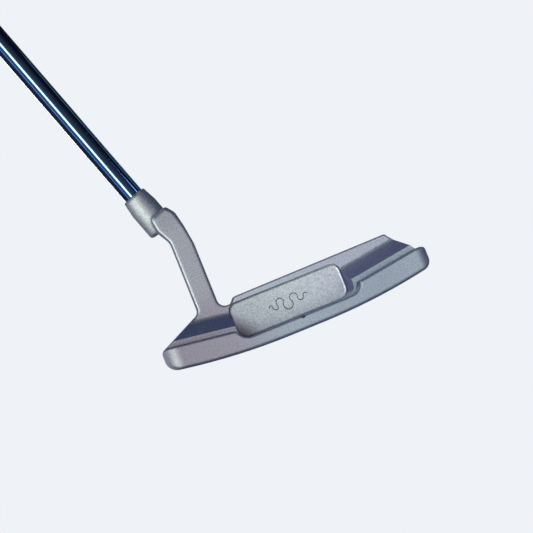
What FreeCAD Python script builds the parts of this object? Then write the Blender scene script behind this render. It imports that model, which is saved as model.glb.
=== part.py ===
import FreeCAD, Part
import math
import os

from FreeCAD import Vector

# Blade putter, right-handed, standing at address on its sole.
# X runs from heel to toe, +Y points at the target (the way the face looks), +Z is up.
# The origin is the centre of the flat land of the sole.  Millimetres.

# ---- blade head -------------------------------------------------------------
REAR_Y = -12.0             # rear wall of the flange
STEP_Y = -3.5              # rear wall of the bumpers
BACK_Y = 6.0               # back of the blade
FACE_Y = 15.0              # leading edge of the face, at the sole
LOFT = 3.0                 # degrees the face leans back
HEEL_X = -61.5
TOE_X = 64.1
SOLE_FLAT_HALF = 8.0       # half length of the flat land of the sole
SOLE_RADIUS = 295.0        # camber of the sole on each side of the land
SOLE_REACH = 80.0          # half length over which the camber is drawn
SOLE_END_RADIUS = 6.0      # where the sole turns up into the heel and toe ends
SOLE_EDGE_RADIUS = 1.75    # rear edge of the sole
FRONT_EDGE_RADIUS = 0.5    # round the face and the neck's front
PLAN_REAR_RADIUS = 6.0     # corners of the head seen from above, rear
PLAN_FRONT_RADIUS = 2.5    # and front
END_TOP_Z = 14.05          # height of the heel and toe ends of the flange
END_TOP_RADIUS = 3.0

# Outline of blade, neck and arm seen from the rear: corners (x, z, corner radius).
NECK_HEEL_X = -39.8
NECK_TOE_X = -30.2
BLADE_TOP = [(60.9, 14.75, 1.2), (53.0, 26.55, 1.6), (-22.4, 25.45, 1.4), (-24.6, 22.95, 2.4)]
NECK_TOE_SIDE = [(NECK_TOE_X, 22.95, 3.6), (NECK_TOE_X, 54.35, 14.0), (-31.5, 63.35, 10.0),
                 (-33.0, 70.35, 5.0)]
ARM_END = [(-36.2, 74.45, 1.8), (-44.3, 71.35, 1.5), (-43.2, 64.95, 3.0)]
NECK_HEEL_SIDE = [(NECK_HEEL_X, 58.5, 6.0), (NECK_HEEL_X, 24.35, 3.0)]

# ---- flange and bumpers -----------------------------------------------------
BUMPER_TILT = 8.0          # degrees the bumpers rise toward heel and toe
BUMPER_X = 30.0            # distance from the middle where the next heights hold
FLANGE_TOP = 10.55
BUMPER_TOP = 13.15
SLOPE_TOP = 19.15
FLANGE_EDGE_RADIUS = 1.0
STEP_FOOT_RADIUS = 0.6
BUMPER_EDGE_RADIUS = 0.2
SLOPE_TOP_RADIUS = 2.8

# ---- back cavity ------------------------------------------------------------
CAVITY_FLOOR_Y = 7.5       # back wall of the cavity, a little deeper than the blade back
CAVITY_BOTTOM = 6.05
CAVITY_TOP = 22.95
CAVITY_HALF = 28.2         # half length at the bumper step
CAVITY_DRAFT = 1.0         # how much each end closes in from there to the floor
CAVITY_TOP_RADIUS = 4.0
CAVITY_BOTTOM_RADIUS = 5.2
CAVITY_FLOOR_RADIUS = 1.2
NOTCH_HALF = 30.0          # the cavity's wider mouth through the flange
NOTCH_RADIUS = 6.5
SIGHT_LINE_WIDTH = 1.7
SIGHT_LINE_DEPTH = 1.0
SIGHT_LINE_FRONT_Y = 4.0
SIGHT_LINE_RECESS = 0.55   # its paint stands this far above the slot's floor

# ---- plumber's neck and hosel ----------------------------------------------
LIE = 71.0                 # degrees between the shaft and the ground
SHAFT_GROUND_X = -16.78    # where the shaft's axis meets the ground
SHAFT_Y = 19.7             # the shaft stands one shaft diameter ahead of the face
NECK_FRONT_Y = 13.0
NECK_BEND_Z = (FACE_Y - NECK_FRONT_Y) / math.tan(math.radians(LOFT))
ARM_COVE_RADIUS = 3.0
ARM_COVE_REACH = 33.0      # half length of the tool that hollows it
BACK_EDGE_RADIUS = 0.9     # rear edges of blade top, neck and arm
HOSEL_BOTTOM_S = 70.1      # distances along the shaft's axis from the ground
HOSEL_TOP_S = 90.4
HOSEL_RADIUS = 6.6
HOSEL_RIM_RADIUS = 5.7
HOSEL_TAPER = 7.0
HOSEL_FOOT_RADIUS = 1.5
HOSEL_RIM_EDGE = 0.5
BORE_RADIUS = 4.8
BORE_DEPTH = 18.5
BORE_LEAD = 0.3

# ---- engraved ornament on the cavity floor ----------------------------------
# A wavy line, as (length, height) of each bulge from one end to the other.
MARK_WAVES = [(1.7, 0.8), (2.3, 1.7), (3.0, 2.7), (3.6, 3.5), (3.3, 2.6), (2.7, 1.6), (2.1, 0.8)]
MARK_WIDTH = 0.28
MARK_DEPTH = 0.3
MARK_PAINT_RECESS = 0.06

# ---- shaft ------------------------------------------------------------------
CLUB_LENGTH = 864.0        # 34 inches, along the shaft's axis from the ground to the cap
SHAFT_TIP_RADIUS = 4.7
SHAFT_BUTT_RADIUS = 7.45
SHAFT_WALL = 0.55
SHAFT_STEPS = 11
SHAFT_FIRST_STEP_S = 330.0
SHAFT_STEP_PITCH = 24.0
SHAFT_STEP_CONE = 2.0
EPOXY_POOL = 0.5

# ---- grip -------------------------------------------------------------------
GRIP_LENGTH = 262.0        # without the cap
GRIP_MOUTH_RADIUS = 10.2
GRIP_BUTT_HALF_WIDTH = 12.8
GRIP_BUTT_FRONT = 10.9     # from the shaft's axis to the flat front
GRIP_BUTT_BACK = 18.0      # and to the back of the pistol butt
GRIP_FRONT_FLATNESS = 1.9
GRIP_POINTS = 28
GRIP_STATIONS = 9
SKIN_THICKNESS = 1.2
TAPE_THICKNESS = 0.2
TAPE_SETBACK = 1.5         # how far inside the mouth the tape starts
MOUTH_RING_LENGTH = 6.0
MOUTH_RING_PROUD = 0.15    # how far the ring stands out from the skin
CAP_THICKNESS = 5.0
# The cap's rounding: (share of its thickness, how far it is drawn in there).
CAP_ROUNDING = [(0.0, 0.0), (0.55, 0.0), (0.85, 0.6), (1.0, 1.8)]
VENT_RADIUS = 1.25

SHAFT_DIR = Vector(-math.cos(math.radians(LIE)), 0, math.sin(math.radians(LIE)))
ACROSS_SHAFT = Vector(math.sin(math.radians(LIE)), 0, math.cos(math.radians(LIE)))
SHAFT_GROUND = Vector(SHAFT_GROUND_X, SHAFT_Y, 0)
FAR = 200.0                # larger than the head, for cutting tools
CLEAR = 5.0                # how far a cutting tool overshoots
TOUCH = 0.01               # distances below this count as touching


# ---- small drawing helpers --------------------------------------------------
def rounded_wire(corners, place):
    """Closed wire through corners (u, v, radius), each corner rounded by its radius.

    place(u, v) turns a flat point into a point in space."""
    edges = []
    starts = []
    ends = []
    mids = []
    count = len(corners)
    for i in range(count):
        here = Vector(corners[i][0], corners[i][1], 0)
        before = Vector(corners[i - 1][0], corners[i - 1][1], 0)
        after = Vector(corners[(i + 1) % count][0], corners[(i + 1) % count][1], 0)
        radius = corners[i][2]
        to_before = (before - here).normalize()
        to_after = (after - here).normalize()
        half = to_before.getAngle(to_after) / 2
        reach = radius / math.tan(half)
        middle = (to_before + to_after).normalize()
        centre_distance = radius / math.sin(half)
        starts.append(here + to_before * reach)
        ends.append(here + to_after * reach)
        mids.append(here + middle * (centre_distance - radius))
    for i in range(count):
        start = place(starts[i].x, starts[i].y)
        end = place(ends[i].x, ends[i].y)
        if corners[i][2] > 0:
            middle = place(mids[i].x, mids[i].y)
            edges.append(Part.Arc(start, middle, end).toShape())
        following = place(starts[(i + 1) % count].x, starts[(i + 1) % count].y)
        if end.distanceToPoint(following) > 1e-6:
            edges.append(Part.LineSegment(end, following).toShape())
    return Part.Wire(edges)


def prism_along_y(corners, y_from, y_to):
    """Front-view outline (x, z, radius) given depth from y_from to y_to."""
    wire = rounded_wire(corners, lambda u, v: Vector(u, y_from, v))
    return Part.Face(wire).extrude(Vector(0, y_to - y_from, 0))


def prism_along_x(corners, x_from, x_to):
    """Side-view outline (y, z, radius) given length from x_from to x_to."""
    wire = rounded_wire(corners, lambda u, v: Vector(x_from, u, v))
    return Part.Face(wire).extrude(Vector(x_to - x_from, 0, 0))


def prism_along_z(corners, z_from, z_to):
    """Plan-view outline (x, y, radius) given height from z_from to z_to."""
    wire = rounded_wire(corners, lambda u, v: Vector(u, v, z_from))
    return Part.Face(wire).extrude(Vector(0, 0, z_to - z_from))


def on_shaft(distance):
    return SHAFT_GROUND + SHAFT_DIR * distance


def turned_on_shaft(profile):
    """Solid of revolution about the shaft's axis; profile is (radius, distance) corners."""
    points = [on_shaft(s) + ACROSS_SHAFT * r for r, s in profile]
    face = Part.Face(Part.makePolygon(points + [points[0]]))
    return face.revolve(SHAFT_GROUND, SHAFT_DIR, 360)


# ---- head -------------------------------------------------------------------
def head_outline():
    """Blade, neck and arm seen along +Y, anticlockwise from far below the heel."""
    below = [(HEEL_X, -FAR, 0), (TOE_X, -FAR, 0)]
    toe = [(TOE_X, END_TOP_Z, END_TOP_RADIUS)]
    heel = [(HEEL_X, END_TOP_Z, END_TOP_RADIUS)]
    return below + toe + BLADE_TOP + NECK_TOE_SIDE + ARM_END + NECK_HEEL_SIDE + heel


def head_blank():
    """The outline given depth, with the sole's camber and the plan's corners."""
    blank = prism_along_y(head_outline(), REAR_Y, SHAFT_Y).common(sole_shape())
    ends = [edge for edge in blank.Edges if is_sole_end(edge)]
    blank = blank.makeFillet(SOLE_END_RADIUS, ends)
    return blank.common(plan_shape())


def back_edge_cut():
    """The sliver that rounds the upper rear edge of blade, neck and arm."""
    sharp = prism_along_y(head_outline(), BACK_Y, SHAFT_Y)
    rear_edges = edges_where(sharp, lambda p: abs(p.y - BACK_Y) < TOUCH)
    sliver = sharp.cut(sharp.makeFillet(BACK_EDGE_RADIUS, rear_edges))
    below_slope = [(BACK_Y - CLEAR, -3 * FAR, 0), (SHAFT_Y + CLEAR, -3 * FAR, 0),
                   (SHAFT_Y + CLEAR, SLOPE_TOP, 0), (BACK_Y - CLEAR, SLOPE_TOP, 0)]
    for side in (-1, 1):
        sliver = sliver.cut(tilted_side(below_slope, side))
    return sliver


def edges_where(shape, test):
    """Edges of a shape on which five evenly spaced points all pass the test."""
    chosen = []
    for edge in shape.Edges:
        first = edge.FirstParameter
        span = edge.LastParameter - first
        if all(test(edge.valueAt(first + span * i / 4)) for i in range(5)):
            chosen.append(edge)
    return chosen


def sole_z(x):
    run = max(abs(x) - SOLE_FLAT_HALF, 0)
    return SOLE_RADIUS - math.sqrt(SOLE_RADIUS ** 2 - run ** 2)


def sole_shape():
    """Everything above the cambered sole."""
    halfway = (SOLE_REACH + SOLE_FLAT_HALF) / 2

    def point(x):
        return Vector(x, -FAR, sole_z(x))

    edges = [
        Part.Arc(point(-SOLE_REACH), point(-halfway), point(-SOLE_FLAT_HALF)).toShape(),
        Part.LineSegment(point(-SOLE_FLAT_HALF), point(SOLE_FLAT_HALF)).toShape(),
        Part.Arc(point(SOLE_FLAT_HALF), point(halfway), point(SOLE_REACH)).toShape()]
    top = Part.makePolygon([point(SOLE_REACH), Vector(SOLE_REACH, -FAR, FAR),
                            Vector(-SOLE_REACH, -FAR, FAR), point(-SOLE_REACH)])
    wire = Part.Wire(edges + top.Edges)
    return Part.Face(wire).extrude(Vector(0, 2 * FAR, 0))


def is_sole_end(edge):
    """True for the long edges where the sole meets the heel and toe ends."""
    box = edge.BoundBox
    long_way = box.YLength > (SHAFT_Y - REAR_Y) / 2
    at_end = min(abs(box.XMin - HEEL_X), abs(box.XMax - TOE_X)) < TOUCH
    return long_way and at_end and box.XLength < TOUCH and box.ZMax < END_TOP_Z / 2


def plan_shape():
    """Plan view with rounded corners, up to the blade; the neck above is left as it is."""
    blade = prism_along_z([
        (HEEL_X, REAR_Y, PLAN_REAR_RADIUS), (TOE_X, REAR_Y, PLAN_REAR_RADIUS),
        (TOE_X, FACE_Y, PLAN_FRONT_RADIUS), (HEEL_X, FACE_Y, PLAN_FRONT_RADIUS)],
        -CLEAR, NECK_BEND_Z)
    return blade.fuse(Part.makeBox(2 * FAR, 2 * FAR, FAR, Vector(-FAR, -FAR, NECK_BEND_Z)))


def tilted_side(profile, side):
    """Side-view outline run from the middle past one end (-1 heel, 1 toe), rising outward."""
    solid = prism_along_x(profile, min(0, side * FAR / 2), max(0, side * FAR / 2))
    solid.rotate(Vector(side * BUMPER_X, 0, FLANGE_TOP), Vector(0, 1, 0), -side * BUMPER_TILT)
    return solid


def bumper_cut(side):
    """Space behind the flange top, the bumper and the blade back on one side (-1 heel, 1 toe)."""
    return tilted_side([
        (REAR_Y - CLEAR, FLANGE_TOP, 0), (STEP_Y, FLANGE_TOP, STEP_FOOT_RADIUS),
        (STEP_Y, BUMPER_TOP, BUMPER_EDGE_RADIUS), (BACK_Y, SLOPE_TOP, SLOPE_TOP_RADIUS),
        (BACK_Y, FAR, 0), (REAR_Y - CLEAR, FAR, 0)], side)


def cavity_cut():
    """Rounded pocket milled from the rear, its ends closing in slightly toward the floor."""
    rims = []
    for y, half in ((STEP_Y, CAVITY_HALF), (CAVITY_FLOOR_Y, CAVITY_HALF - CAVITY_DRAFT)):
        corners = [
            (-half, CAVITY_BOTTOM, CAVITY_BOTTOM_RADIUS), (half, CAVITY_BOTTOM, CAVITY_BOTTOM_RADIUS),
            (half, CAVITY_TOP, CAVITY_TOP_RADIUS), (-half, CAVITY_TOP, CAVITY_TOP_RADIUS)]
        rims.append(rounded_wire(corners, lambda u, v, depth=y: Vector(u, depth, v)))
    pocket = Part.makeLoft(rims, True, True)
    floor_edges = edges_where(pocket, lambda p: abs(p.y - CAVITY_FLOOR_Y) < TOUCH)
    return pocket.makeFillet(CAVITY_FLOOR_RADIUS, floor_edges)


def notch_cut():
    """The pocket's wider mouth through the flange, open upward."""
    corners = [(-NOTCH_HALF, CAVITY_BOTTOM, NOTCH_RADIUS), (NOTCH_HALF, CAVITY_BOTTOM, NOTCH_RADIUS),
               (NOTCH_HALF, CAVITY_TOP, 0), (-NOTCH_HALF, CAVITY_TOP, 0)]
    return prism_along_y(corners, REAR_Y - CLEAR, STEP_Y)


def sight_line_cut():
    """Slot along the flange's middle, from the rear edge forward, with a round front end."""
    half = SIGHT_LINE_WIDTH / 2
    tip = half - TOUCH
    corners = [(-half, REAR_Y - CLEAR, 0), (half, REAR_Y - CLEAR, 0),
               (half, SIGHT_LINE_FRONT_Y, tip), (-half, SIGHT_LINE_FRONT_Y, tip)]
    return prism_along_z(corners, CAVITY_BOTTOM - SIGHT_LINE_DEPTH, CAVITY_BOTTOM + CLEAR)


def arm_floor(x):
    """Height of the arm's underside, square to the shaft, at a place along X."""
    run = (x - SHAFT_GROUND_X) * math.cos(math.radians(LIE))
    return (HOSEL_BOTTOM_S + run) / math.sin(math.radians(LIE))


def neck_side(y_from, y_to):
    """Everything round the upright neck, from its bend up to the arm's underside."""
    return prism_along_y([
        (-FAR, NECK_BEND_Z, 0), (0, NECK_BEND_Z, 0), (0, arm_floor(0), 0), (-FAR, arm_floor(-FAR), 0)],
        y_from, y_to)


def face_cut():
    """Space in front of the face; higher up it follows the neck's upright front."""
    low = -CLEAR
    front = FACE_Y - low * math.tan(math.radians(LOFT))
    lower = prism_along_x([(front, low, 0), (FAR, low, 0), (FAR, NECK_BEND_Z, 0),
                           (NECK_FRONT_Y, NECK_BEND_Z, 0)], -FAR, FAR)
    return lower.fuse(neck_side(NECK_FRONT_Y, FAR))


def neck_front_edge_cut():
    """The slivers that round the front edges of the neck's upright part."""
    sharp = prism_along_y(head_outline(), BACK_Y, NECK_FRONT_Y)
    front_edges = edges_where(sharp, lambda p: abs(p.y - NECK_FRONT_Y) < TOUCH)
    sliver = sharp.cut(sharp.makeFillet(FRONT_EDGE_RADIUS, front_edges))
    return sliver.common(neck_side(BACK_Y, NECK_FRONT_Y))


def arm_cove():
    """Hollow fillet under the arm, where it springs forward from the neck."""
    forward = Vector(0, ARM_COVE_RADIUS, 0)
    upward = SHAFT_DIR * ARM_COVE_RADIUS
    corner = on_shaft(HOSEL_BOTTOM_S - ARM_COVE_RADIUS) - ACROSS_SHAFT * ARM_COVE_REACH
    corner.y = NECK_FRONT_Y
    square = Part.Face(Part.makePolygon([
        corner, corner + forward, corner + forward + upward, corner + upward, corner]))
    length = 2 * ARM_COVE_REACH
    block = square.extrude(ACROSS_SHAFT * length)
    round_bar = Part.makeCylinder(ARM_COVE_RADIUS, length, corner + forward, ACROSS_SHAFT)
    return block.cut(round_bar).common(prism_along_y(head_outline(), BACK_Y, SHAFT_Y))


def hosel():
    """Turned socket for the shaft, tapered at its rim."""
    solid = turned_on_shaft([
        (0, HOSEL_BOTTOM_S), (HOSEL_RADIUS, HOSEL_BOTTOM_S),
        (HOSEL_RADIUS, HOSEL_TOP_S - HOSEL_TAPER), (HOSEL_RIM_RADIUS, HOSEL_TOP_S),
        (0, HOSEL_TOP_S)])
    foot = [edge for edge in solid.Edges if is_ring(edge, HOSEL_BOTTOM_S)]
    solid = solid.makeFillet(HOSEL_FOOT_RADIUS, foot)
    rim = [edge for edge in solid.Edges if is_ring(edge, HOSEL_TOP_S)]
    return solid.makeFillet(HOSEL_RIM_EDGE, rim)


def is_ring(edge, distance):
    """True for a full circle about the shaft's axis at this distance along it."""
    if not isinstance(edge.Curve, Part.Circle):
        return False
    along = (edge.Curve.Center - SHAFT_GROUND).dot(SHAFT_DIR)
    return abs(along - distance) < TOUCH


def bore_cut():
    """Blind round hole down the hosel for the shaft's tip, with a small lead-in."""
    bottom = HOSEL_TOP_S - BORE_DEPTH
    return turned_on_shaft([
        (0, bottom), (BORE_RADIUS, bottom), (BORE_RADIUS, HOSEL_TOP_S - BORE_LEAD),
        (BORE_RADIUS + BORE_LEAD, HOSEL_TOP_S), (BORE_RADIUS + BORE_LEAD, HOSEL_TOP_S + CLEAR),
        (0, HOSEL_TOP_S + CLEAR)])


def mark_wave(x_from, x_to, rise, y_from):
    """One curved stroke bulging up (or down, when rise is negative) from the mark's middle line."""
    middle_z = (CAVITY_BOTTOM + CAVITY_TOP) / 2
    half = MARK_WIDTH / 2
    chord = x_to - x_from
    radius = (chord ** 2 / 4 + rise ** 2) / (2 * abs(rise))
    centre_z = middle_z + rise - math.copysign(radius, rise)
    centre = Vector((x_from + x_to) / 2, y_from, centre_z)
    depth = CAVITY_FLOOR_Y + MARK_DEPTH - y_from
    forward = Vector(0, 1, 0)
    band = Part.makeCylinder(radius + half, depth, centre, forward)
    band = band.cut(Part.makeCylinder(radius - half, depth, centre, forward))
    edge_z = middle_z if rise > 0 else middle_z - 2 * radius
    side = Part.makeBox(4 * radius, depth, 2 * radius, Vector(centre.x - 2 * radius, y_from, edge_z))
    return band.common(side)


def mark(y_from):
    """Engraved ornament for the cavity: a wavy line, tallest in the middle."""
    total = sum(length for length, rise in MARK_WAVES)
    x = -total / 2
    way = 1
    strokes = []
    for length, rise in MARK_WAVES:
        strokes.append(mark_wave(x, x + length, way * rise, y_from))
        x += length
        way = -way
    return strokes[0].multiFuse(strokes[1:])


def on_face_outline(point):
    lean = math.tan(math.radians(LOFT))
    return abs(point.y - (FACE_Y - point.z * lean)) < TOUCH and point.z < NECK_BEND_Z - TOUCH


def on_sole_rear(point):
    return abs(point.y - REAR_Y) < TOUCH and point.z < END_TOP_Z / 2


def on_flange_brim(point):
    """Rear brim of the flange: its tilted top edges and the mouth of the cavity notch."""
    tilt = math.tan(math.radians(BUMPER_TILT))
    top = FLANGE_TOP + (abs(point.x) - BUMPER_X) * tilt
    on_top = abs(point.z - top) < 2 * TOUCH and point.y < STEP_Y - 2 * STEP_FOOT_RADIUS
    near_middle = abs(point.x) < NOTCH_HALF + CLEAR and point.z > CAVITY_BOTTOM / 2
    return on_top or (near_middle and abs(point.y - REAR_Y) < TOUCH)


def putter_head():
    body = head_blank()
    for side in (-1, 1):
        body = body.cut(bumper_cut(side))
    body = body.cut(back_edge_cut())
    body = body.cut(face_cut()).removeSplitter()
    body = body.makeFillet(FRONT_EDGE_RADIUS, edges_where(body, on_face_outline))
    body = body.cut(neck_front_edge_cut()).fuse(arm_cove())
    body = body.makeFillet(SOLE_EDGE_RADIUS, edges_where(body, on_sole_rear))
    body = body.cut(notch_cut()).cut(cavity_cut())
    body = body.makeFillet(FLANGE_EDGE_RADIUS, edges_where(body, on_flange_brim))
    body = body.fuse(hosel()).cut(bore_cut()).cut(sight_line_cut())
    return body.cut(mark(CAVITY_FLOOR_Y - MARK_DEPTH))


def sight_line_paint():
    """Paint in the sight-line slot, a little below its brim and inside its open end."""
    half = SIGHT_LINE_WIDTH / 2
    start = Vector(-half, REAR_Y + MARK_PAINT_RECESS, CAVITY_BOTTOM - SIGHT_LINE_DEPTH)
    filled = Part.makeBox(SIGHT_LINE_WIDTH, FAR, SIGHT_LINE_RECESS, start)
    return sight_line_cut().common(filled)


def cavity_mark_paint():
    """Paint in the engraved ornament, a hair below the cavity floor."""
    return mark(CAVITY_FLOOR_Y + MARK_PAINT_RECESS)


# ---- shaft ------------------------------------------------------------------
def hosel_epoxy():
    """Bond line round the shaft's tip, with the small pool below it."""
    bottom = HOSEL_TOP_S - BORE_DEPTH
    top = HOSEL_TOP_S - BORE_LEAD
    return turned_on_shaft([
        (0, bottom), (BORE_RADIUS, bottom), (BORE_RADIUS, top), (SHAFT_TIP_RADIUS, top),
        (SHAFT_TIP_RADIUS, bottom + EPOXY_POOL), (0, bottom + EPOXY_POOL)])


def shaft():
    """Stepped steel tube: parallel tip, short cones up to a parallel butt."""
    tip = HOSEL_TOP_S - BORE_DEPTH + EPOXY_POOL
    rise = (SHAFT_BUTT_RADIUS - SHAFT_TIP_RADIUS) / SHAFT_STEPS
    outer = [(SHAFT_TIP_RADIUS, tip)]
    for i in range(SHAFT_STEPS):
        start = SHAFT_FIRST_STEP_S + i * SHAFT_STEP_PITCH
        outer.append((SHAFT_TIP_RADIUS + i * rise, start))
        outer.append((SHAFT_TIP_RADIUS + (i + 1) * rise, start + SHAFT_STEP_CONE))
    outer.append((SHAFT_BUTT_RADIUS, CLUB_LENGTH - CAP_THICKNESS))
    inner = [(r - SHAFT_WALL, s) for r, s in outer]
    return turned_on_shaft(outer + inner[::-1])


# ---- grip -------------------------------------------------------------------
def grip_reach(run, start, end):
    """Smooth change from start at the mouth to end at the butt, mostly in the upper half."""
    part = run / GRIP_LENGTH
    return start + (end - start) * (3 * part ** 2 - 2 * part ** 3)


def grip_section(run, inset):
    """Closed smooth curve round the grip, run along it from its mouth.

    The front is nearly flat for the thumbs; the back swells into a pistol butt."""
    side = grip_reach(run, GRIP_MOUTH_RADIUS, GRIP_BUTT_HALF_WIDTH) - inset
    front = grip_reach(run, GRIP_MOUTH_RADIUS, GRIP_BUTT_FRONT) - inset
    back = grip_reach(run, GRIP_MOUTH_RADIUS, GRIP_BUTT_BACK) - inset
    flatness = grip_reach(run, 1.0, GRIP_FRONT_FLATNESS)
    centre = on_shaft(CLUB_LENGTH - CAP_THICKNESS - GRIP_LENGTH + run)
    points = []
    for i in range(GRIP_POINTS):
        angle = 2 * math.pi * i / GRIP_POINTS
        across = side * math.cos(angle)
        rise = math.sin(angle)
        if rise >= 0:
            out = front * rise ** (1 / flatness)
            across = side * math.copysign(abs(math.cos(angle)) ** (1 / flatness), math.cos(angle))
        else:
            out = back * rise
        points.append(centre + ACROSS_SHAFT * out + Vector(0, across, 0))
    curve = Part.BSplineCurve()
    curve.interpolate(points, True)
    return Part.Wire([curve.toShape()])


def grip_form(inset, run_from, run_to):
    stations = [run_from + (run_to - run_from) * i / (GRIP_STATIONS - 1) for i in range(GRIP_STATIONS)]
    return Part.makeLoft([grip_section(run, inset) for run in stations], True, False)


def shaft_plug(radius):
    """Solid cylinder on the shaft's axis, past both ends of the grip."""
    start = on_shaft(CLUB_LENGTH - GRIP_LENGTH - FAR)
    return Part.makeCylinder(radius, GRIP_LENGTH + 2 * FAR, start, SHAFT_DIR)


def grip_tape():
    """Thin tape round the butt of the shaft, under the grip."""
    start = on_shaft(CLUB_LENGTH - CAP_THICKNESS - GRIP_LENGTH + TAPE_SETBACK)
    length = GRIP_LENGTH - TAPE_SETBACK
    outer = Part.makeCylinder(SHAFT_BUTT_RADIUS + TAPE_THICKNESS, length, start, SHAFT_DIR)
    return outer.cut(shaft_plug(SHAFT_BUTT_RADIUS))


def grip_core():
    core = grip_form(SKIN_THICKNESS, MOUTH_RING_LENGTH, GRIP_LENGTH)
    return core.cut(shaft_plug(SHAFT_BUTT_RADIUS + TAPE_THICKNESS))


def grip_skin():
    outer = grip_form(0, MOUTH_RING_LENGTH, GRIP_LENGTH)
    inner = grip_form(SKIN_THICKNESS, MOUTH_RING_LENGTH, GRIP_LENGTH)
    return outer.cut(inner)


def grip_mouth_ring():
    """Moulded collar that closes the grip's lower end round the shaft."""
    ring = grip_form(-MOUTH_RING_PROUD, 0, MOUTH_RING_LENGTH)
    return ring.cut(shaft_plug(SHAFT_BUTT_RADIUS + TAPE_THICKNESS))


def grip_end_cap():
    """Cap over the butt with a vent hole on the shaft's axis."""
    wires = []
    for share, inset in CAP_ROUNDING:
        wire = grip_section(GRIP_LENGTH, inset)
        wire.translate(SHAFT_DIR * (CAP_THICKNESS * share))
        wires.append(wire)
    cap = Part.makeLoft(wires, True, True)
    start = on_shaft(CLUB_LENGTH - 2 * CAP_THICKNESS)
    vent = Part.makeCylinder(VENT_RADIUS, 4 * CAP_THICKNESS, start, SHAFT_DIR)
    return cap.cut(vent)


def main():
    os.makedirs("parts", exist_ok=True)
    nodes = {
        "putter_head": putter_head,
        "sight_line_paint": sight_line_paint,
        "cavity_mark_paint": cavity_mark_paint,
        "hosel_epoxy": hosel_epoxy,
        "shaft": shaft,
        "grip_tape": grip_tape,
        "grip_core": grip_core,
        "grip_skin": grip_skin,
        "grip_mouth_ring": grip_mouth_ring,
        "grip_end_cap": grip_end_cap,
    }
    for name, make in nodes.items():
        shape = make()
        shape.exportStep("parts/" + name + ".step")
        print(name, shape.isValid(), len(shape.Solids), round(shape.Volume / 1000, 3), "cm3")


if __name__ == "__main__":
    main()
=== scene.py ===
"""Looks for the blade putter: materials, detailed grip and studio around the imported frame."""

import math

import bpy
from mathutils import Matrix, Vector


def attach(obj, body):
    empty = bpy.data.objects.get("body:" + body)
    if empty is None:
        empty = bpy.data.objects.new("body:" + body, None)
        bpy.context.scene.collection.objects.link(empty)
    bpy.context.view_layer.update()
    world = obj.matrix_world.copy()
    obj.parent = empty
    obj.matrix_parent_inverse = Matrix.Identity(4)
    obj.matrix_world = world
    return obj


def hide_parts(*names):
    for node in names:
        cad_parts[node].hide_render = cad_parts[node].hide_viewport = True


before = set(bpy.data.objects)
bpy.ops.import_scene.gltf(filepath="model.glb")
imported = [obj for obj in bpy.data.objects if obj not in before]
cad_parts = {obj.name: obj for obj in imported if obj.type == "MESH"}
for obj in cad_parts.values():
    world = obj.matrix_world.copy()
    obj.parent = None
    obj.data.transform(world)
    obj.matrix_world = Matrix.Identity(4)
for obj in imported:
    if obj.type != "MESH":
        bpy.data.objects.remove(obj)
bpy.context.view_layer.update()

MM = 0.001

# Places on the steel head, in millimetres.  A pair is where a look starts and is complete;
# a zone is a box, as its X, Y and Z ranges.
HEAD_X = (-62.0, 62.0)
UPPER_Z = (24.0, 34.0)              # where the neck's flat tone takes over
NECK_Z = (21.0, 26.0)
NECK_X = (-24.0, -27.0)
NECK_REAR_Y = (7.6, 7.2)
ARM_Z = (62.0, 68.0)
HOSEL_ZONE = ((-60.0, -30.0), (13.5, 30.0), (62.0, 100.0))
BLADE_BACK_ZONE = ((-24.0, 54.0), (5.4, 6.6), (18.5, 28.0))
CAVITY_FLOOR_ZONE = ((-28.3, 28.3), (6.9, 8.0), (5.0, 23.2))
CAVITY_WALL_ZONE = ((-31.0, 31.0), (-10.9, 7.2), (4.0, 23.2))
# painted shadow in the cavity's lower heel corner: its box, its middle and its reach
CORNER_SHADOW_ZONE = ((-28.6, 0.0), (6.0, 8.0), (4.0, 23.2))
CORNER_SHADOW_MIDDLE = (-30.0, 7.5, 4.0)
CORNER_SHADOW_REACH = (16.0, 4.5)
EDGE_RADIUS = 0.30                  # softening of every edge of the head
NECK_EDGE_RADIUS = 1.2              # more of it on the neck
ARM_EDGE_RADIUS = 0.9               # and more again on the arm above it
BEND_RANGE = (-0.05, 0.10)          # how far a rounded normal leans toward the toe and up
BEND_GAIN = (-0.50, 2.4)            # how much further it is then bent


# ---- shader helpers ---------------------------------------------------------
class Nodes:
    """A node tree, built call by call."""

    def __init__(self, tree):
        self.tree = tree

    def node(self, kind, inputs=None, **settings):
        made = self.tree.nodes.new("ShaderNode" + kind)
        for key, value in settings.items():
            setattr(made, key, value)
        for key, value in (inputs or {}).items():
            self.feed(made.inputs[key], value)
        return made

    def feed(self, socket, value):
        if isinstance(value, bpy.types.NodeSocket):
            self.tree.links.new(value, socket)
        else:
            socket.default_value = value

    def ramp(self, factor, stops):
        """Colour ramp; stops are (position, colour or grey)."""
        made = self.node("ValToRGB", {"Fac": factor})
        elements = made.color_ramp.elements
        while len(elements) < len(stops):
            elements.new(0.5)
        for element, (position, colour) in zip(elements, stops):
            element.position = position
            if isinstance(colour, (int, float)):
                colour = (colour, colour, colour)
            element.color = (*colour, 1.0)
        return made.outputs["Color"]

    def remap(self, value, low, high, to_low, to_high, kind="LINEAR"):
        """Value from one range in another, held at the ends."""
        return self.node("MapRange", {
            "Value": value, "From Min": low, "From Max": high,
            "To Min": to_low, "To Max": to_high}, interpolation_type=kind).outputs["Result"]

    def math(self, operation, first, second=0.0):
        made = self.node("Math", operation=operation)
        self.feed(made.inputs[0], first)
        self.feed(made.inputs[1], second)
        return made.outputs[0]

    def mix(self, factor, first, second, blend="MIX"):
        made = self.node("Mix", data_type="RGBA", blend_type=blend)
        self.feed(made.inputs["Factor"], factor)
        self.feed(made.inputs[6], rgba(first))
        self.feed(made.inputs[7], rgba(second))
        return made.outputs[2]


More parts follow.
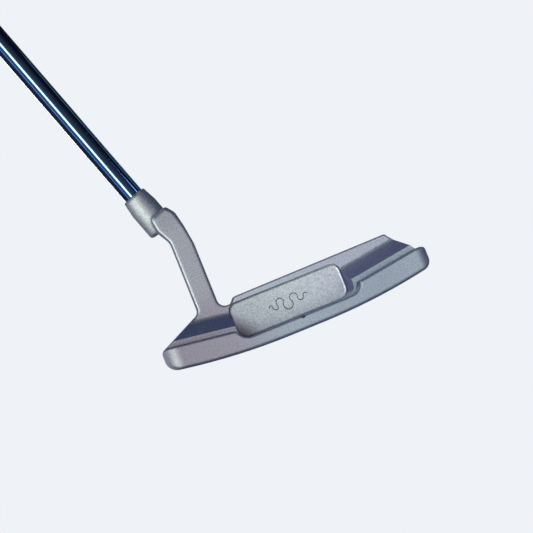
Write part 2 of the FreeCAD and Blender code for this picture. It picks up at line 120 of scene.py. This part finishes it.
class Shader(Nodes):
    """A node material with one Principled surface."""

    def __init__(self, name):
        self.material = bpy.data.materials.new(name)
        self.material.use_nodes = True
        super().__init__(self.material.node_tree)
        self.surface = self.tree.nodes["Principled BSDF"]
        self.place = self.tree.nodes.new("ShaderNodeTexCoord").outputs["Object"]
        geometry = self.tree.nodes.new("ShaderNodeNewGeometry")
        self.normal = geometry.outputs["Normal"]
        self.facing = self.node("SeparateXYZ", {"Vector": geometry.outputs["True Normal"]}).outputs

    def set(self, **values):
        for key, value in values.items():
            self.feed(self.surface.inputs[key.replace("_", " ")], value)

    def noise(self, size_mm, detail=2.0, roughness=0.5, place=None):
        """Noise whose blobs are about size_mm across, around 0.5."""
        return self.node("TexNoise", {
            "Vector": place or self.place, "Scale": 1000.0 / size_mm,
            "Detail": detail, "Roughness": roughness}).outputs["Fac"]

    def fade(self, value, pair, kind="LINEAR"):
        """0 at the pair's first place and 1 at its second, both in millimetres."""
        start, end = pair
        if start < end:
            return self.remap(value, start * MM, end * MM, 0.0, 1.0, kind)
        return self.remap(value, end * MM, start * MM, 1.0, 0.0, kind)

    def box_mask(self, at, zone, soft):
        """1 inside a box given in millimetres, fading to 0 over soft millimetres outside it."""
        inside = 1.0
        for axis, (low, high) in zip("XYZ", zone):
            up = self.remap(at[axis], (low - soft) * MM, low * MM, 0.0, 1.0)
            down = self.remap(at[axis], high * MM, (high + soft) * MM, 1.0, 0.0)
            inside = self.math("MULTIPLY", self.math("MULTIPLY", up, down), inside)
        return inside

    def bump(self, height, depth_mm, strength=1.0, normal=None):
        inputs = {"Height": height, "Distance": depth_mm * MM, "Strength": strength}
        if normal is not None:
            inputs["Normal"] = normal
        return self.node("Bump", inputs).outputs["Normal"]

    def rounded(self, radius, neck):
        """Normals of edges rounded over a radius in metres; on the neck they bend further,
        most of all toward the toe and upward."""
        eased_normal = self.node("Bevel", {"Radius": radius}, samples=10).outputs["Normal"]
        bend = self.node("VectorMath", {0: eased_normal, 1: self.normal}, operation="SUBTRACT")
        way = self.node("SeparateXYZ", {"Vector": bend.outputs["Vector"]}).outputs
        onward = self.remap(self.math("ADD", way["X"], way["Z"]), *BEND_RANGE, *BEND_GAIN)
        strength = self.math("ADD", self.math("MULTIPLY", onward, neck), 1.0)
        more = self.node("VectorMath", {0: bend.outputs["Vector"], "Scale": strength},
                         operation="SCALE")
        total = self.node("VectorMath", {0: more.outputs["Vector"], 1: self.normal}, operation="ADD")
        unit = self.node("VectorMath", {0: total.outputs["Vector"]}, operation="NORMALIZE")
        return unit.outputs["Vector"]


def rgba(colour):
    """A socket as it is, and a grey or a colour as four numbers."""
    if isinstance(colour, bpy.types.NodeSocket):
        return colour
    if isinstance(colour, (int, float)):
        return (colour, colour, colour, 1.0)
    return (*colour, 1.0)


# ---- materials --------------------------------------------------------------
def steel_tone_and_painted_light(s, at, along):
    """Tone of blade, neck, arm and hosel, with painted light along the blade: pinkish and darker at the
    heel, teal at the toe, painted highlights on both ends.
    """
    # painted light along the blade: darker and pinkish toward the heel, teal toward the toe, a painted
    # highlight on each end and a painted shade just inside the heel end
    blade = s.ramp(along, [
        (0.004, (0.980, 1.000, 1.000)), (0.020, (0.700, 0.720, 0.670)), (0.040, (0.490, 0.440, 0.485)),
        (0.24, (0.550, 0.512, 0.547)), (0.45, (0.635, 0.728, 0.737)), (0.82, (0.625, 0.700, 0.730)),
        (0.982, (0.685, 0.805, 0.795)), (1.0, (1.000, 0.970, 1.000))])
    # flat tones: one on the neck, a darker one on the arm, lighter ones on the hosel and on the blade's
    # back above the cavity
    tone = s.mix(s.fade(at["Z"], UPPER_Z), blade, (0.600, 0.605, 0.610))
    tone = s.mix(s.fade(at["Z"], ARM_Z), tone, (0.545, 0.550, 0.565))
    tone = s.mix(s.box_mask(at, HOSEL_ZONE, 0.5), tone, (0.735, 0.750, 0.720))
    blade_back = s.math("MULTIPLY", s.box_mask(at, BLADE_BACK_ZONE, 0.5), 0.7)
    return s.mix(blade_back, tone, (0.82, 0.86, 0.88))


def steel_cavity_painted_light(s, at, along, tone):
    """Adds painted light in the cavity: a floor painted bright, end walls painted dark as shade, and a
    dark blue painted reflection on the slopes that face upward.
    """
    # painted light: the cavity floor painted brighter than the rest of the head, most toward the toe
    floor_painted_light = s.ramp(along, [
        (0.27, (0.70, 0.74, 0.735)), (0.50, (0.90, 0.96, 0.92)), (0.73, (0.96, 1.0, 1.0))])
    tone = s.mix(s.box_mask(at, CAVITY_FLOOR_ZONE, 0.4), tone, floor_painted_light)
    # painted shade: the cavity's sideways-facing end walls painted dark blue
    sideways = s.remap(s.math("ABSOLUTE", s.facing["X"]), 0.45, 0.8, 0.0, 1.0)
    walls = s.math("MULTIPLY", sideways, s.box_mask(at, CAVITY_WALL_ZONE, 0.3))
    tone = s.mix(walls, tone, (0.105, 0.100, 0.245))
    # painted reflection: surfaces facing steeply upward painted dark blue, the dim blue room they
    # reflect
    upward_shade_mask = s.ramp(s.facing["Z"], [(0.53, 0.0), (0.80, 1.0), (0.90, 1.0), (0.96, 0.0)])
    slope_painted_reflection = s.ramp(along, [(0.25, (0.35, 0.40, 0.56)), (0.75, (0.51, 0.52, 0.68))])
    return s.mix(upward_shade_mask, tone, slope_painted_reflection)


def steel_corner_shadow(s, at, tone):
    """Adds a dark pinkish painted shadow in the cavity's lower heel corner."""
    offset = s.node("VectorMath", {0: s.place, 1: Vector(CORNER_SHADOW_MIDDLE) * MM}, operation="DISTANCE")
    near = s.fade(offset.outputs["Value"], CORNER_SHADOW_REACH, "SMOOTHSTEP")
    corner_shadow = s.math("MULTIPLY", near, s.box_mask(at, CORNER_SHADOW_ZONE, 0.3))
    return s.mix(corner_shadow, tone, (0.20, 0.145, 0.18))


def steel_neck_painted_glint(s, at, neck, tone):
    """Adds a painted highlight along the rear edge down the neck's heel side."""
    heelward = s.ramp(s.math("MULTIPLY", s.facing["X"], -1.0),
                      [(0.15, 0.0), (0.35, 1.0), (0.75, 1.0), (0.92, 0.0)])
    rear = s.math("MULTIPLY", neck, s.fade(at["Y"], NECK_REAR_Y))
    return s.mix(s.math("MULTIPLY", heelward, rear), tone, (0.98, 1.0, 0.98))


def blasted_steel():
    """Bead-blasted stainless steel: sparkling grain, faint two-tone clouding, softened edges, and light
    and shade painted by place.
    """
    s = Shader("blasted_steel")
    at = s.node("SeparateXYZ", {"Vector": s.place}).outputs
    grain = s.noise(0.60, detail=3.0, roughness=0.8)
    along = s.fade(at["X"], HEAD_X)
    neck = s.math("MULTIPLY", s.fade(at["Z"], NECK_Z), s.fade(at["X"], NECK_X))
    arm = s.fade(at["Z"], ARM_Z)
    tone = steel_tone_and_painted_light(s, at, along)
    tone = steel_cavity_painted_light(s, at, along, tone)
    tone = steel_corner_shadow(s, at, tone)
    tone = steel_neck_painted_glint(s, at, neck, tone)
    clouds = s.ramp(s.noise(1.9, detail=3.0), [(0.36, (1.0, 0.955, 0.98)), (0.64, (0.96, 1.0, 1.0))])
    speckle = s.ramp(grain, [(0.32, 0.54), (0.585, 1.0)])
    tone = s.mix(1.0, s.mix(1.0, tone, clouds, "MULTIPLY"), speckle, "MULTIPLY")
    s.set(Base_Color=tone, Metallic=1.0, Roughness=s.remap(grain, 0.25, 0.75, 0.44, 0.54))
    radius = s.math("ADD", s.math("MULTIPLY", neck, NECK_EDGE_RADIUS * MM),
                    s.math("MULTIPLY", arm, ARM_EDGE_RADIUS * MM))
    soft = s.rounded(s.math("ADD", radius, EDGE_RADIUS * MM), neck)
    pitted = s.bump(s.noise(0.30, detail=2.0), 0.025, 0.6, soft)
    s.set(Normal=s.bump(grain, 0.055, 0.8, pitted))
    return s.material


def dark_plating():
    """Glossy blue-black plated steel under a thin clear lacquer."""
    s = Shader("dark_plating")
    haze = s.noise(30.0, detail=3.0)
    s.set(Base_Color=s.ramp(haze, [(0.3, (0.008, 0.020, 0.046)), (0.7, (0.013, 0.028, 0.060))]),
          Metallic=1.0, Roughness=s.remap(s.noise(9.0), 0.3, 0.7, 0.08, 0.12),
          Coat_Weight=0.35, Coat_Roughness=0.05)
    return s.material


def fill_paint():
    """Matt black enamel that has pulled back a little from the groove's walls."""
    s = Shader("fill_paint")
    s.set(Base_Color=s.ramp(s.noise(0.6), [(0.3, (0.012, 0.013, 0.017)), (0.7, (0.030, 0.031, 0.038))]),
          Roughness=s.remap(s.noise(0.4), 0.3, 0.7, 0.42, 0.62))
    s.set(Normal=s.bump(s.noise(0.5), 0.02, 0.5))
    return s.material


def cured_epoxy():
    """Hard amber adhesive."""
    s = Shader("cured_epoxy")
    s.set(Base_Color=s.ramp(s.noise(1.2), [(0.3, (0.52, 0.45, 0.30)), (0.7, (0.63, 0.57, 0.42))]),
          Roughness=s.remap(s.noise(0.8), 0.3, 0.7, 0.25, 0.4))
    return s.material


def moulded_rubber():
    """Matt black rubber with a fine mould texture."""
    s = Shader("moulded_rubber")
    fine = s.noise(0.5, detail=4.0)
    s.set(Base_Color=s.ramp(fine, [(0.3, (0.013, 0.013, 0.014)), (0.7, (0.026, 0.026, 0.028))]),
          Roughness=s.remap(fine, 0.3, 0.7, 0.62, 0.78))
    s.set(Normal=s.bump(fine, 0.05, 0.6))
    return s.material


def embossed_skin():
    """Soft matt polyurethane with a fine leather grain and faint blotches."""
    s = Shader("embossed_skin")
    grain = s.noise(0.9, detail=4.0, roughness=0.6)
    blotch = s.noise(18.0, detail=2.0)
    tone = s.ramp(grain, [(0.30, (0.010, 0.011, 0.013)), (0.70, (0.026, 0.027, 0.031))])
    tone = s.mix(s.remap(blotch, 0.3, 0.7, 0.0, 0.3), tone, (0.030, 0.031, 0.035))
    s.set(Base_Color=tone, Roughness=s.remap(grain, 0.3, 0.7, 0.52, 0.68),
          Specular_IOR_Level=0.45)
    s.set(Normal=s.bump(grain, 0.06, 0.7))
    return s.material


def waxed_thread():
    """Grey twisted thread."""
    s = Shader("waxed_thread")
    twist = s.node("TexWave", {"Vector": s.place, "Scale": 900.0, "Distortion": 0.5},
                   bands_direction="DIAGONAL").outputs["Fac"]
    s.set(Base_Color=s.ramp(twist, [(0.2, (0.30, 0.31, 0.33)), (0.8, (0.52, 0.53, 0.56))]),
          Roughness=s.remap(twist, 0.0, 1.0, 0.6, 0.75))
    s.set(Normal=s.bump(twist, 0.06, 0.8))
    return s.material


def cloth_tape():
    """Off-white woven tape."""
    s = Shader("cloth_tape")
    weave = s.noise(0.8, detail=3.0)
    s.set(Base_Color=s.ramp(weave, [(0.3, (0.62, 0.60, 0.54)), (0.7, (0.74, 0.72, 0.66))]),
          Roughness=s.remap(weave, 0.3, 0.7, 0.8, 0.95))
    s.set(Normal=s.bump(weave, 0.05, 0.5))
    return s.material


def foam_core():
    """Dark closed-cell foam."""
    s = Shader("foam_core")
    cells = s.noise(0.9, detail=3.0)
    s.set(Base_Color=s.ramp(cells, [(0.3, (0.05, 0.05, 0.055)), (0.7, (0.085, 0.085, 0.09))]),
          Roughness=s.remap(cells, 0.3, 0.7, 0.85, 0.97))
    s.set(Normal=s.bump(cells, 0.15, 0.6))
    return s.material


def plain_backdrop(name, colour):
    """Flat glowing tone that no light changes."""
    made = bpy.data.materials.new(name)
    made.use_nodes = True
    nodes = made.node_tree.nodes
    nodes.clear()
    glow = nodes.new("ShaderNodeEmission")
    glow.inputs["Color"].default_value = (*colour, 1.0)
    out = nodes.new("ShaderNodeOutputMaterial")
    made.node_tree.links.new(glow.outputs[0], out.inputs[0])
    return made


def dress(node, material):
    """Gives a CAD node its material."""
    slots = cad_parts[node].data.materials
    slots.clear()
    slots.append(material)


NODE_FINISH = {
    "putter_head": blasted_steel,
    "sight_line_paint": fill_paint,
    "cavity_mark_paint": fill_paint,
    "hosel_epoxy": cured_epoxy,
    "shaft": dark_plating,
    "grip_tape": cloth_tape,
    "grip_core": foam_core,
    "grip_skin": moulded_rubber,
    "grip_mouth_ring": moulded_rubber,
    "grip_end_cap": moulded_rubber,
}
made_materials = {}
for node_name, finish in NODE_FINISH.items():
    if finish not in made_materials:
        made_materials[finish] = finish()
    dress(node_name, made_materials[finish])


# ---- detailed grip skin -----------------------------------------------------
LIE = math.radians(71.0)
SHAFT_DIR = Vector((-math.cos(LIE), 0.0, math.sin(LIE)))
ACROSS = Vector((math.sin(LIE), 0.0, math.cos(LIE)))
SHAFT_GROUND = Vector((-16.78, 19.7, 0.0))
GRIP_TOP = 859.0           # millimetres along the shaft's axis from the ground
GRIP_LENGTH = 262.0
GRIP_MOUTH = 10.2          # radius at the mouth
GRIP_SIDE = 12.8           # half width at the butt
GRIP_FRONT = 10.9          # from the shaft's axis to the flat front there
GRIP_BACK = 18.0           # and to the back
GRIP_FLATNESS = 1.9
SKIN_FROM = 6.0            # the skin starts above the mouth ring
SKIN_THICKNESS = 1.2
SKIN_GAP = 0.04            # keeps the detailed skin a hair inside the plain one
AROUND = 240
ALONG = 385
INNER_ALONG = 24
SEAM = 1.5 * math.pi       # the seam runs down the middle of the back
LATTICE_CELLS = 14
LATTICE_PITCH = 8.0
LATTICE_WIDTH = 0.11       # of a cell
LATTICE_DEPTH = 0.38
FLAT_FRONT = 0.86          # sine of the angle from which the front is flat
THUMB_PITCH = 3.0
THUMB_HALF = 0.75
THUMB_BOW = 14.0           # how far the thumb grooves curve up the grip
THUMB_DEPTH = 0.26
SEAM_HALF = 0.9
SEAM_DEPTH = 0.55
WELT = 3.2                 # plain strip on each side of the seam
WELT_DEPTH = 0.3           # of the line along its border
COLLARS = (11.0, 13.2, 254.5, 256.7)
COLLAR_HALF = 0.8
COLLAR_DEPTH = 0.4
COLLAR_MARGIN = 1.5        # plain skin between a collar and the pattern
STITCH_PITCH = 5.2
STITCH_LENGTH = 3.5
STITCH_RADIUS = 0.38
STITCH_GAP = 0.02          # between a stitch's crown and the plain skin's surface
STITCH_SINK = 0.30         # how deep a stitch's ends dive into the seam
STITCH_TIP = 0.12          # thickness of its ends, as a share of its middle's
STITCH_ROUNDING = 0.35     # lower is a blunter end
STITCH_SIDES = 8
STITCH_STEPS = 8
STITCH_FROM = 4.0          # from the collar to the first stitch's middle
STITCH_TO = 3.0            # the last one stays at least this far from the next collar


def eased(run, start, end):
    """Smooth change from start at the grip's mouth to end at its butt."""
    part = run / GRIP_LENGTH
    return start + (end - start) * (3 * part ** 2 - 2 * part ** 3)


def groove(distance, half_width, depth):
    """Round-bottomed groove profile: how deep it is at a distance from its middle."""
    if distance >= half_width:
        return 0.0
    return depth * 0.5 * (1 + math.cos(math.pi * distance / half_width))


def emboss(run, angle, girth):
    """Depth of the moulded pattern at a point of the skin."""
    from_seam = abs(math.remainder(angle - SEAM, 2 * math.pi)) / (2 * math.pi) * girth
    depth = groove(from_seam, SEAM_HALF, SEAM_DEPTH)
    for place in COLLARS:
        depth = max(depth, groove(abs(run - place), COLLAR_HALF, COLLAR_DEPTH))
    between_collars = COLLARS[1] + COLLAR_MARGIN < run < COLLARS[2] - COLLAR_MARGIN
    if not between_collars or from_seam < WELT:
        return depth
    depth = max(depth, groove(from_seam - WELT, COLLAR_HALF, WELT_DEPTH))
    if math.sin(angle) > FLAT_FRONT:
        offset = abs(math.remainder(run + THUMB_BOW * abs(math.cos(angle)), THUMB_PITCH))
        return max(depth, groove(offset, THUMB_HALF, THUMB_DEPTH))
    turn = angle / (2 * math.pi) * LATTICE_CELLS
    for way in (-1, 1):
        offset = abs(math.remainder(run / LATTICE_PITCH + way * turn, 1.0))
        depth = max(depth, groove(offset, LATTICE_WIDTH, LATTICE_DEPTH))
    return depth


def grip_point(run, angle, inset):
    """Point of the grip's surface, inset millimetres below it, in metres."""
    side = eased(run, GRIP_MOUTH, GRIP_SIDE) - inset
    front = eased(run, GRIP_MOUTH, GRIP_FRONT) - inset
    back = eased(run, GRIP_MOUTH, GRIP_BACK) - inset
    flatness = eased(run, 1.0, GRIP_FLATNESS)
    rise = math.sin(angle)
    turn = math.cos(angle)
    if rise >= 0:
        out = front * rise ** (1 / flatness)
        across = side * math.copysign(abs(turn) ** (1 / flatness), turn)
    else:
        out = back * rise
        across = side * turn
    centre = SHAFT_GROUND + SHAFT_DIR * (GRIP_TOP - GRIP_LENGTH + run)
    return (centre + ACROSS * out + Vector((0, across, 0))) * MM


def grip_ring(run, inset, embossed):
    """One ring of points round the grip."""
    depth_mean = (GRIP_FRONT + GRIP_BACK) / 2
    girth = math.pi * (eased(run, GRIP_MOUTH, GRIP_SIDE) + eased(run, GRIP_MOUTH, depth_mean))
    ring = []
    for i in range(AROUND):
        angle = 2 * math.pi * i / AROUND
        depth = emboss(run, angle, girth) if embossed else 0.0
        ring.append(grip_point(run, angle, inset + depth))
    return ring


def mesh_piece(name, points, faces, material):
    """A smooth-shaded piece that rides the club."""
    mesh = bpy.data.meshes.new(name)
    mesh.from_pydata([tuple(point) for point in points], [], faces)
    mesh.materials.append(material)
    mesh.polygons.foreach_set("use_smooth", [True] * len(mesh.polygons))
    mesh.update()
    piece = bpy.data.objects.new(name, mesh)
    bpy.context.scene.collection.objects.link(piece)
    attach(piece, "root")
    return piece


def loop_faces(rings, around, closed):
    """Quads between neighbouring rings, and from the last to the first when closed."""
    faces = []
    for r in range(rings if closed else rings - 1):
        low = r * around
        high = ((r + 1) % rings) * around
        for i in range(around):
            j = (i + 1) % around
            faces.append((low + i, low + j, high + j, high + i))
    return faces


def add_grip_skin():
    """The skin: embossed outside, smooth inside, closed at both ends."""
    span = GRIP_LENGTH - SKIN_FROM
    points = []
    for r in range(ALONG + 1):
        points += grip_ring(SKIN_FROM + span * r / ALONG, SKIN_GAP, True)
    for r in range(INNER_ALONG, -1, -1):
        points += grip_ring(SKIN_FROM + span * r / INNER_ALONG, SKIN_THICKNESS, False)
    rings = len(points) // AROUND
    skin = mesh_piece("grip_skin_embossed", points, loop_faces(rings, AROUND, True), embossed_skin())
    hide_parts("grip_skin")


def stitch(run):
    """One stitch lying in the seam: points and faces of a small capsule, sunk at its ends."""
    points = []
    for k in range(STITCH_STEPS + 1):
        part = k / STITCH_STEPS
        bulge = abs(math.sin(math.pi * part)) ** STITCH_ROUNDING
        thick = STITCH_RADIUS * max(STITCH_TIP, bulge)
        sink = SKIN_GAP + STITCH_GAP + STITCH_RADIUS + STITCH_SINK * (2 * part - 1) ** 4
        middle = grip_point(run + STITCH_LENGTH * (part - 0.5), SEAM, sink)
        for i in range(STITCH_SIDES):
            turn = 2 * math.pi * i / STITCH_SIDES
            out = ACROSS * math.cos(turn) + Vector((0, math.sin(turn), 0))
            points.append(middle + out * thick * MM)
    faces = loop_faces(STITCH_STEPS + 1, STITCH_SIDES, False)
    first_ring = tuple(range(STITCH_SIDES))
    faces.append(first_ring[::-1])
    faces.append(tuple(STITCH_STEPS * STITCH_SIDES + i for i in first_ring))
    return points, faces


def add_stitches():
    """The row of stitches down the seam."""
    points = []
    faces = []
    run = COLLARS[1] + STITCH_FROM
    while run < COLLARS[2] - STITCH_TO:
        more_points, more_faces = stitch(run)
        faces += [tuple(index + len(points) for index in face) for face in more_faces]
        points += more_points
        run += STITCH_PITCH
    mesh_piece("grip_stitches", points, faces, waxed_thread())


add_grip_skin()
add_stitches()


# ---- studio -----------------------------------------------------------------
BACKDROP = (0.863, 0.888, 0.922)      # pale cool grey, linear
FLOOR_Z = -0.40
FLOOR_RADIUS = 9.0
SURROUND_RADIUS = 12.0
LIGHT_TARGET = Vector((0, 0, 0.03))


def camera_only(thing):
    """Keeps a backdrop from lighting or shading the club."""
    thing.visible_glossy = False
    thing.visible_diffuse = False
    thing.visible_transmission = False
    thing.visible_shadow = False
    return thing


def add_floor_and_dome():
    """Plain pale floor and a surround of the same tone, so that no horizon shows."""
    tone = plain_backdrop("studio_pale", BACKDROP)
    bpy.ops.mesh.primitive_circle_add(vertices=96, radius=FLOOR_RADIUS, fill_type="NGON",
                                      location=(0, 0, FLOOR_Z))
    floor = bpy.context.object
    floor.name = "studio_floor"
    bpy.ops.mesh.primitive_uv_sphere_add(segments=48, ring_count=24, radius=SURROUND_RADIUS)
    dome = bpy.context.object
    dome.name = "studio_surround"
    for thing in (floor, dome):
        thing.data.materials.append(tone)
        camera_only(thing)


def direction(azimuth, elevation):
    """Unit vector toward azimuth (0 is the rear, -Y; 90 is the toe side, +X) and elevation."""
    a = math.radians(azimuth)
    e = math.radians(elevation)
    return Vector((math.sin(a) * math.cos(e), -math.cos(a) * math.cos(e), math.sin(e)))


def add_softbox(name, azimuth, elevation, distance, width, height, radiance, colour=(1, 1, 1)):
    """Rectangular light, aimed at the head; radiance is how bright its surface looks."""
    data = bpy.data.lights.new(name, "AREA")
    data.shape = "RECTANGLE"
    data.size = width
    data.size_y = height
    data.color = colour
    data.energy = radiance * math.pi * width * height
    light = bpy.data.objects.new(name, data)
    bpy.context.scene.collection.objects.link(light)
    way = direction(azimuth, elevation)
    light.location = LIGHT_TARGET + way * distance
    light.rotation_euler = way.to_track_quat("Z", "Y").to_euler()
    light.visible_camera = False
    return light


# One tall soft wall of light round the object, brightest to the left of the camera:
# azimuth, colour.  It fades out above and below, where the room is dark blue.
LIGHT_WALL = (
    (-180, (0.28, 0.29, 0.33)),
    (-140, (0.16, 0.16, 0.21)),
    (-104, (0.24, 0.22, 0.34)),
    (-86, (0.56, 0.56, 0.74)),
    (-62, (1.22, 1.38, 1.42)),
    (-38, (2.15, 2.38, 2.24)),
    (-14, (1.30, 1.42, 1.42)),
    (6, (0.66, 0.71, 0.79)),
    (22, (0.72, 0.67, 0.84)),
    (38, (0.30, 0.25, 0.40)),
    (56, (0.11, 0.12, 0.21)),
    (85, (0.04, 0.06, 0.11)),
    (150, (0.06, 0.07, 0.11)),
    (168, (0.14, 0.15, 0.19)),
    (180, (0.28, 0.29, 0.33)),
)
WALL_FULL = 0.18           # sine of the elevation up to which the wall is fully bright
WALL_END = 0.78            # and beyond which there is none of it
ROOM_BLUE = (0.056, 0.075, 0.156)
CEILING = (0.55, 0.60, 0.66)
CEILING_FROM = 0.955       # sine of the elevation where the ceiling's glow starts


def add_world():
    """The light wall and the dim room, seen by the metal and never by the camera."""
    world = bpy.data.worlds.new("soft_studio")
    bpy.context.scene.world = world
    world.use_nodes = True
    w = Nodes(world.node_tree)
    way = w.node("SeparateXYZ", {"Vector": w.node("TexCoord").outputs["Generated"]}).outputs
    azimuth = w.math("ARCTAN2", way["X"], w.math("MULTIPLY", way["Y"], -1.0))
    around = w.ramp(w.remap(azimuth, -math.pi, math.pi, 0.0, 1.0),
                    [((degrees + 180) / 360, colour) for degrees, colour in LIGHT_WALL])
    share = w.remap(w.math("ABSOLUTE", way["Z"]), WALL_FULL, WALL_END, 1.0, 0.0, "SMOOTHSTEP")
    overhead = w.remap(way["Z"], CEILING_FROM, 1.0, 0.0, 1.0, "SMOOTHSTEP")
    room = w.mix(overhead, ROOM_BLUE, CEILING)
    w.feed(w.tree.nodes["Background"].inputs["Color"], w.mix(share, room, around))


def shine_only_on(light, nodes):
    """Keeps a light to some pieces, CAD nodes or made here, as flags would in a studio."""
    lit = bpy.data.collections.new(light.name + "_lit")
    for node in nodes:
        lit.objects.link(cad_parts.get(node) or bpy.data.objects[node])
    light.light_linking.receiver_collection = lit


# Softboxes: name, azimuth, elevation, distance, width, height, radiance, colour.
SHAFT_LIGHTS = (
    ("strip_white", -35, -8, 1.7, 0.50, 1.6, 44.0, (0.90, 1.0, 1.0)),
    ("strip_blue_left", -75, -10, 1.7, 0.11, 1.8, 26.0, (0.10, 0.42, 1.0)),
    ("strip_blue_right", 51, -4, 1.7, 0.34, 1.8, 32.0, (0.34, 0.55, 1.0)),
    ("strip_teal_right", 98, 10, 1.7, 0.50, 1.8, 1.8, (0.35, 0.85, 0.85)),
    ("strip_front_left", -158, -4, 1.7, 0.30, 1.8, 9.0, (0.80, 0.95, 1.0)),
    ("strip_front_right", 150, -4, 1.7, 0.16, 1.8, 5.0, (0.30, 0.55, 1.0)),
)
GRIP_LIGHTS = (
    ("grip_heel_side", -62, 22, 2.2, 0.9, 1.6, 9.0, (0.95, 0.98, 1.0)),
    ("grip_toe_side", 72, 14, 2.2, 0.6, 1.6, 7.0, (0.85, 0.92, 1.0)),
    ("grip_front_side", -152, 16, 2.2, 0.9, 1.6, 8.0, (0.95, 0.97, 1.0)),
    ("grip_front_toe", 140, 30, 2.2, 0.5, 1.6, 7.0, (0.90, 0.95, 1.0)),
)
GRIP_PIECES = ("grip_mouth_ring", "grip_end_cap", "grip_skin_embossed", "grip_stitches")

add_floor_and_dome()
add_world()
for lights, pieces in ((SHAFT_LIGHTS, ("shaft",)), (GRIP_LIGHTS, GRIP_PIECES)):
    for settings in lights:
        shine_only_on(add_softbox(*settings), pieces)


# ---- camera -----------------------------------------------------------------
VIEW_AZIMUTH = -10.0       # the camera stands toward the heel, behind the head
VIEW_ELEVATION = -2.5      # and looks up very slightly
VIEW_ROLL = 22.04
VIEW_DISTANCE = 0.500
VIEW_AIM = Vector((-6.93, -12.17, 31.73)) * MM
VIEW_LENS = 77.67


def add_camera():
    """Camera at VIEW_DISTANCE from the aim, rolled about its own axis."""
    data = bpy.data.cameras.new("photo_view")
    data.lens = VIEW_LENS
    data.sensor_width = 36.0
    data.clip_start = 0.01
    data.clip_end = 60.0
    camera = bpy.data.objects.new("photo_view", data)
    bpy.context.scene.collection.objects.link(camera)
    back = direction(VIEW_AZIMUTH, VIEW_ELEVATION)
    camera.location = VIEW_AIM + back * VIEW_DISTANCE
    level = back.to_track_quat("Z", "Y").to_matrix()
    roll = Matrix.Rotation(math.radians(-VIEW_ROLL), 3, "Z")
    camera.rotation_euler = (level @ roll).to_euler()
    bpy.context.scene.camera = camera


add_camera()
bpy.context.scene.view_settings.view_transform = "Standard"
